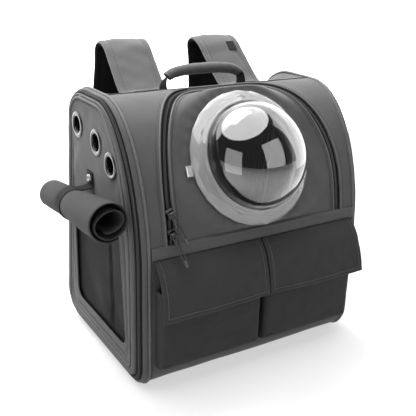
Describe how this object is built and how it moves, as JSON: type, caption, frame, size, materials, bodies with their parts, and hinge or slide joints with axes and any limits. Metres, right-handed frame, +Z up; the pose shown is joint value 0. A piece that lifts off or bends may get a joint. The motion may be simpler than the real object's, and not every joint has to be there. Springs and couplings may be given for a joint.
{
  "type": "pet carrier backpack",
  "caption": "Boxy cloth pet carrier with an arched zip door, a clear bubble window, net sides, front pockets, a top handle and padded shoulder straps",
  "frame": {"origin": "middle of the flat underside of the base, on the floor", "axes": "+Z up; the front with the door and the pockets faces -Y; the shoulder straps hang on the +Y side; +X is the right side as seen from the front"},
  "size_m": [0.3893, 0.3032, 0.3945],
  "materials": {
    "body_cloth": "matt, fine nap",
    "dark_cloth": "matt, fine nap",
    "piping": "matt",
    "webbing": "matt, woven",
    "net": "matt, open weave",
    "zipper": "satin",
    "clear_plastic": "clear, polished",
    "black_plastic": "satin",
    "dark_metal": "gloss black"
  },
  "bodies": {
    "bag": {"front_panel": "body_cloth", "door_panel": "body_cloth", "door_zipper_tape": "zipper", "door_zipper_chain": "zipper", "top_panel": "body_cloth", "back_panel": "dark_cloth", "base_panel": "dark_cloth", "window_ring": "clear_plastic", "window_dome": "clear_plastic", "window_clamp": "black_plastic", "window_latch": "black_plastic", "pocket_band": "body_cloth", "left_pocket": "dark_cloth", "left_pocket_flap": "dark_cloth", "right_pocket": "dark_cloth", "right_pocket_flap": "dark_cloth", "left_gusset": "body_cloth", "left_gusset_zipper": "zipper", "left_front_piping": "piping", "left_side_piping": "piping", "left_side_panel": "body_cloth", "left_window_net": "net", "left_eyelet_rear": "dark_metal", "left_eyelet_middle": "dark_metal", "left_eyelet_front": "dark_metal", "right_gusset": "body_cloth", "right_gusset_zipper": "zipper", "right_front_piping": "piping", "right_side_piping": "piping", "right_side_panel": "body_cloth", "right_window_net": "net", "right_eyelet_rear": "dark_metal", "right_eyelet_middle": "dark_metal", "right_eyelet_front": "dark_metal", "left_rolled_cover": "dark_cloth", "left_cover_strap": "webbing", "left_cover_snap": "dark_metal", "right_flat_cover": "dark_cloth", "handle_grip": "body_cloth", "handle_left_tape": "webbing", "handle_right_tape": "webbing", "strap_label": "webbing", "left_shoulder_strap": "body_cloth", "left_strap_webbing": "webbing", "left_strap_adjuster": "black_plastic", "right_shoulder_strap": "body_cloth", "right_strap_webbing": "webbing", "right_strap_adjuster": "black_plastic", "upper_slider": "dark_metal", "lower_slider": "dark_metal"},
    "upper_pull": {"upper_pull": "dark_metal"},
    "lower_pull": {"lower_pull": "dark_metal"}
  },
  "joints": [
    {"name": "upper_pull_hinge", "type": "hinge", "parent": "bag", "child": "upper_pull", "pos_m": [-0.12535, -0.12281, 0.23053], "axis": [0.9455, 0.0766, 0.3164], "range_deg": [-120, 15]},
    {"name": "lower_pull_hinge", "type": "hinge", "parent": "bag", "child": "lower_pull", "pos_m": [-0.12535, -0.12751, 0.20701], "axis": [0.9744, 0.0351, 0.2222], "range_deg": [-120, 12]}
  ]
}
